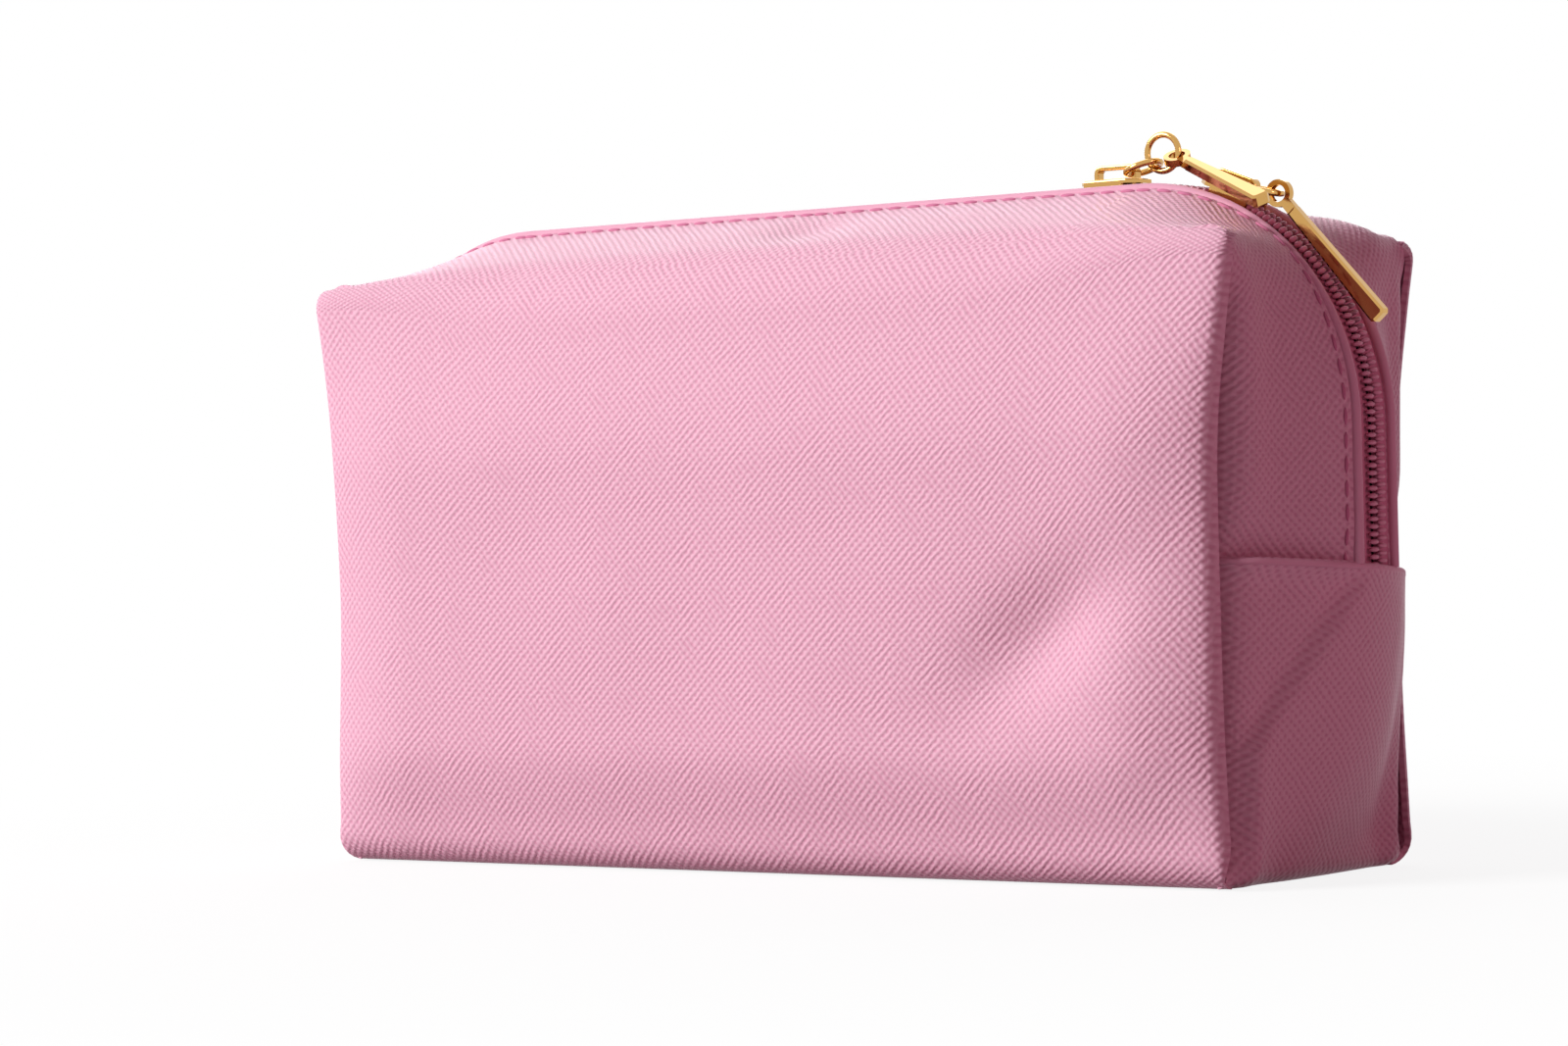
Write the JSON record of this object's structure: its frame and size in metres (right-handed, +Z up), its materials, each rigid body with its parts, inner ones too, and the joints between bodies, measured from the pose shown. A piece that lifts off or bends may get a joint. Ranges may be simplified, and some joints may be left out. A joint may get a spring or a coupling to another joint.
{
  "type": "zipped makeup case",
  "caption": "Soft box-shaped makeup case in pink cross-grain coated sheet with a gold coil zip over the top and ends, sliders parked at one end and tapered metal pulls.",
  "frame": {"origin": "middle of the base, on the surface the case stands on", "axes": "+X along the case towards the end where the sliders are parked, -Y towards the front, +Z up"},
  "size_m": [0.2459, 0.078, 0.1404],
  "materials": {
    "coated_sheet": "satin cross-grain emboss",
    "lining": "woven, matte",
    "zip_tape": "woven herringbone",
    "zip_coil": "nylon coil, satin",
    "gold_metal": "polished pale gold plate"
  },
  "bodies": {
    "case": {"front_panel": "coated_sheet", "back_panel": "coated_sheet", "base_panel": "coated_sheet", "lower_end_left": "coated_sheet", "lower_end_right": "coated_sheet", "gusset_front_left": "coated_sheet", "gusset_front_right": "coated_sheet", "gusset_back_left": "coated_sheet", "gusset_back_right": "coated_sheet", "lining_pouch": "lining", "zip_tape_front_left": "zip_tape", "zip_tape_front_right": "zip_tape", "zip_tape_back_left": "zip_tape", "zip_tape_back_right": "zip_tape", "zip_coil_front_left": "zip_coil", "zip_coil_front_right": "zip_coil", "zip_coil_back_left": "zip_coil", "zip_coil_back_right": "zip_coil"},
    "front_flap": {"top_flap_front": "coated_sheet", "flap_lining_front": "lining", "zip_tape_front_top": "zip_tape", "zip_coil_front_top": "zip_coil"},
    "back_flap": {"top_flap_back": "coated_sheet", "flap_lining_back": "lining", "zip_tape_back_top": "zip_tape", "zip_coil_back_top": "zip_coil"},
    "left_slider": {"slider_left": "gold_metal", "bridge_left": "gold_metal", "ring_left": "gold_metal", "ring_left_top": "gold_metal"},
    "left_pull": {"pull_left": "gold_metal"},
    "right_slider": {"slider_right": "gold_metal", "bridge_right": "gold_metal"},
    "right_ring": {"ring_right": "gold_metal"},
    "right_pull": {"pull_right": "gold_metal"}
  },
  "joints": [
    {"name": "front_flap_hinge", "type": "hinge", "parent": "case", "child": "front_flap", "pos_m": [0, -0.0335, 0.12], "axis": [1, 0, 0], "range_deg": [0, 70], "deforming": ["zip_tape_front_top", "zip_tape_front_left", "zip_tape_front_right", "zip_tape_back_top", "zip_tape_back_left", "zip_tape_back_right", "zip_coil_front_top", "zip_coil_front_left", "zip_coil_front_right", "zip_coil_back_top", "zip_coil_back_left", "zip_coil_back_right"]},
    {"name": "back_flap_hinge", "type": "hinge", "parent": "case", "child": "back_flap", "pos_m": [0, 0.0335, 0.12], "axis": [-1, 0, 0], "range_deg": [0, 70]},
    {"name": "left_slider_run", "type": "slide", "parent": "case", "child": "left_slider", "axis": [1, 0, 0], "range_m": [-0.135, 0]},
    {"name": "left_pull_swing", "type": "hinge", "parent": "left_slider", "child": "left_pull", "pos_m": [0.07681, 0, 0.13635], "axis": [0, -1, 0], "range_deg": [0, 121]},
    {"name": "right_slider_run", "type": "hinge", "parent": "case", "child": "right_slider", "pos_m": [0.0755, 0, 0.084], "axis": [0, 1, 0], "range_deg": [0, 35]},
    {"name": "right_ring_swing", "type": "hinge", "parent": "right_slider", "child": "right_ring", "pos_m": [0.0954, 0, 0.12858], "axis": [0, -1, 0], "range_deg": [0, 60]},
    {"name": "right_pull_swing", "type": "hinge", "parent": "right_ring", "child": "right_pull", "pos_m": [0.10212, 0, 0.12703], "axis": [0, -1, 0], "range_deg": [0, 60]}
  ],
  "couplings": [
    {"joint": "back_flap_hinge", "follows": "front_flap_hinge", "ratio": 1},
    {"joint": "left_pull_swing", "follows": "left_slider_run", "rad_per_m": -15.6}
  ]
}
